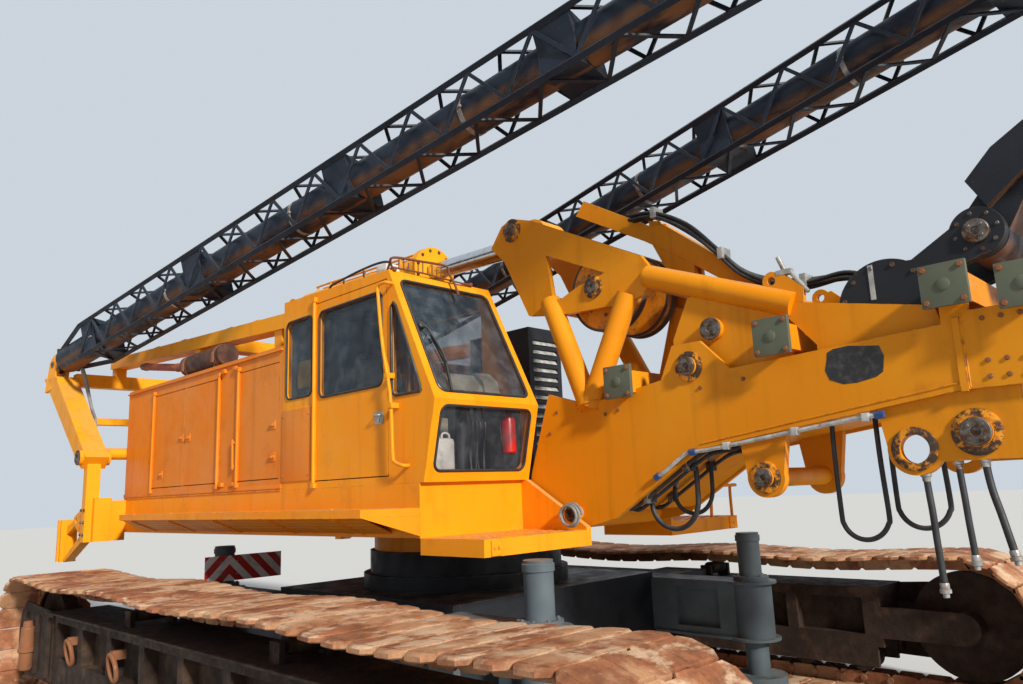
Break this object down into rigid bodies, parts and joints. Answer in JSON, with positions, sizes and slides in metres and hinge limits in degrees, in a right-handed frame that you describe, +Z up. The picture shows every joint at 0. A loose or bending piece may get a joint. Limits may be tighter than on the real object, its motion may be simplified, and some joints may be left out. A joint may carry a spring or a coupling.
{
  "type": "crawler pile driver rig",
  "caption": "Crawler pile driver rig with cab, engine house, hinged front frame, long leader laid forward and two long lattice-stiffened stays",
  "frame": {"origin": "on the ground under the slewing centre", "axes": "+X forward to the leader, +Y to the machine's left, +Z up"},
  "size_m": [29.1888, 5.81, 14.3489],
  "materials": {
    "yellow_paint": "faded orange-yellow paint, semi-gloss",
    "black_paint": "black paint, semi-gloss, dusty",
    "blue_grey_paint": "dark blue-grey paint, worn",
    "brown_paint": "dark paint under brown dirt and rust",
    "worn_steel": "worn rusty steel with dried mud",
    "grey_paint": "grey paint",
    "glass": "clear safety glass",
    "seat": "dark woven cloth",
    "rod_chrome": "polished rod"
  },
  "bodies": {
    "undercarriage": {"carbody": "black_paint", "slew_ring": "black_paint", "jack_front_right": "blue_grey_paint", "jack_front_left": "blue_grey_paint", "jack_rear_right": "blue_grey_paint", "jack_rear_left": "blue_grey_paint", "track_frame_right": "brown_paint", "track_frame_left": "brown_paint", "track_right": "worn_steel", "track_left": "worn_steel", "rollers_right": "brown_paint", "rollers_left": "brown_paint"},
    "upper": {"deck": "yellow_paint", "front_step_right": "yellow_paint", "front_step_left": "yellow_paint", "catwalk_right": "yellow_paint", "catwalk_left": "yellow_paint", "house_walls": "yellow_paint", "house_roof": "yellow_paint", "engine": "grey_paint", "exhaust": "brown_paint", "cooler": "black_paint", "cab_shell": "yellow_paint", "cab_glass": "glass", "cab_seat": "seat", "rear_frame": "yellow_paint"},
    "cab_door": {"cab_door": "yellow_paint", "cab_door_glass": "glass"},
    "house_door_right_rear": {"house_door_right_rear": "yellow_paint"},
    "house_door_right_middle": {"house_door_right_middle": "yellow_paint"},
    "house_door_right_front": {"house_door_right_front": "yellow_paint"},
    "house_door_left_rear": {"house_door_left_rear": "yellow_paint"},
    "house_door_left_front": {"house_door_left_front": "yellow_paint"},
    "front_frame": {"front_frame": "yellow_paint", "cross_boxes": "yellow_paint", "hose_arm": "yellow_paint", "leader_foot": "black_paint"},
    "sheave": {"sheave": "brown_paint"},
    "top_cylinder_barrel": {"top_cylinder_barrel": "yellow_paint"},
    "top_cylinder_rod": {"top_cylinder_rod": "rod_chrome"},
    "leader": {"leader": "black_paint", "leader_head": "black_paint"},
    "stay_tube_right": {"stay_tube_right": "black_paint"},
    "stay_rod_right": {"stay_rod_right": "black_paint"},
    "stay_tube_left": {"stay_tube_left": "black_paint"},
    "stay_rod_left": {"stay_rod_left": "black_paint"}
  },
  "joints": [
    {"name": "slewing", "type": "hinge", "parent": "undercarriage", "child": "upper", "pos_m": [0, 0, 1.38], "axis": [0, 0, 1], "continuous": true},
    {"name": "cab_door_swing", "type": "hinge", "parent": "upper", "child": "cab_door", "pos_m": [-0.061, -1.625, 2.5], "axis": [0, 0, -1], "range_deg": [0, 100]},
    {"name": "house_door_right_rear_swing", "type": "hinge", "parent": "upper", "child": "house_door_right_rear", "pos_m": [-3.546, -1.625, 2.5], "axis": [0, 0, -1], "range_deg": [0, 90]},
    {"name": "house_door_right_middle_swing", "type": "hinge", "parent": "upper", "child": "house_door_right_middle", "pos_m": [-1.864, -1.625, 2.5], "axis": [0, 0, 1], "range_deg": [0, 90]},
    {"name": "house_door_right_front_swing", "type": "hinge", "parent": "upper", "child": "house_door_right_front", "pos_m": [-1.446, -1.625, 2.5], "axis": [0, 0, -1], "range_deg": [0, 90]},
    {"name": "house_door_left_rear_swing", "type": "hinge", "parent": "upper", "child": "house_door_left_rear", "pos_m": [-3.546, 1.625, 2.5], "axis": [0, 0, 1], "range_deg": [0, 90]},
    {"name": "house_door_left_front_swing", "type": "hinge", "parent": "upper", "child": "house_door_left_front", "pos_m": [-2.086, 1.625, 2.5], "axis": [0, 0, 1], "range_deg": [0, 90]},
    {"name": "front_frame_luff", "type": "hinge", "parent": "upper", "child": "front_frame", "pos_m": [1.84, 0, 1.68], "axis": [0, -1, 0], "range_deg": [-2, 6]},
    {"name": "sheave_spin", "type": "hinge", "parent": "front_frame", "child": "sheave", "pos_m": [2.04, 0, 3.42], "axis": [0, 1, 0], "continuous": true},
    {"name": "top_cylinder_swing", "type": "hinge", "parent": "upper", "child": "top_cylinder_barrel", "pos_m": [-3, 0, 4.25], "axis": [0, -1, 0], "range_deg": [-2, 1]},
    {"name": "top_cylinder_slide", "type": "slide", "parent": "top_cylinder_barrel", "child": "top_cylinder_rod", "axis": [0.9995, 0, -0.0312], "range_m": [-0.3, 0.12]},
    {"name": "leader_tilt", "type": "hinge", "parent": "front_frame", "child": "leader", "pos_m": [4.7, 0, 3.18], "axis": [0, -1, 0], "range_deg": [-10, 59.5]},
    {"name": "stay_swing_right", "type": "hinge", "parent": "upper", "child": "stay_tube_right", "pos_m": [-5.93, -1.99, 3.78], "axis": [0.0863, -0.9864, 0.14], "range_deg": [-3.2, 18]},
    {"name": "stay_slide_right", "type": "slide", "parent": "stay_tube_right", "child": "stay_rod_right", "axis": [0.9851, 0.1054, 0.1358], "range_m": [-3.9, 0.7]},
    {"name": "stay_swing_left", "type": "hinge", "parent": "upper", "child": "stay_tube_left", "pos_m": [-5.93, 1.99, 3.78], "axis": [-0.0863, -0.9864, -0.14], "range_deg": [-3.2, 18]},
    {"name": "stay_slide_left", "type": "slide", "parent": "stay_tube_left", "child": "stay_rod_left", "axis": [0.9851, -0.1054, 0.1358], "range_m": [-3.9, 0.7]}
  ],
  "couplings": [
    {"joint": "top_cylinder_swing", "follows": "front_frame_luff", "ratio": -0.21},
    {"joint": "top_cylinder_slide", "follows": "front_frame_luff", "m_per_rad": -2.38},
    {"joint": "stay_swing_right", "follows": "leader_tilt", "ratio": 0.29668},
    {"joint": "stay_slide_right", "follows": "leader_tilt", "m_per_rad": -3.6839},
    {"joint": "stay_swing_left", "follows": "leader_tilt", "ratio": 0.29668},
    {"joint": "stay_slide_left", "follows": "leader_tilt", "m_per_rad": -3.6839}
  ]
}
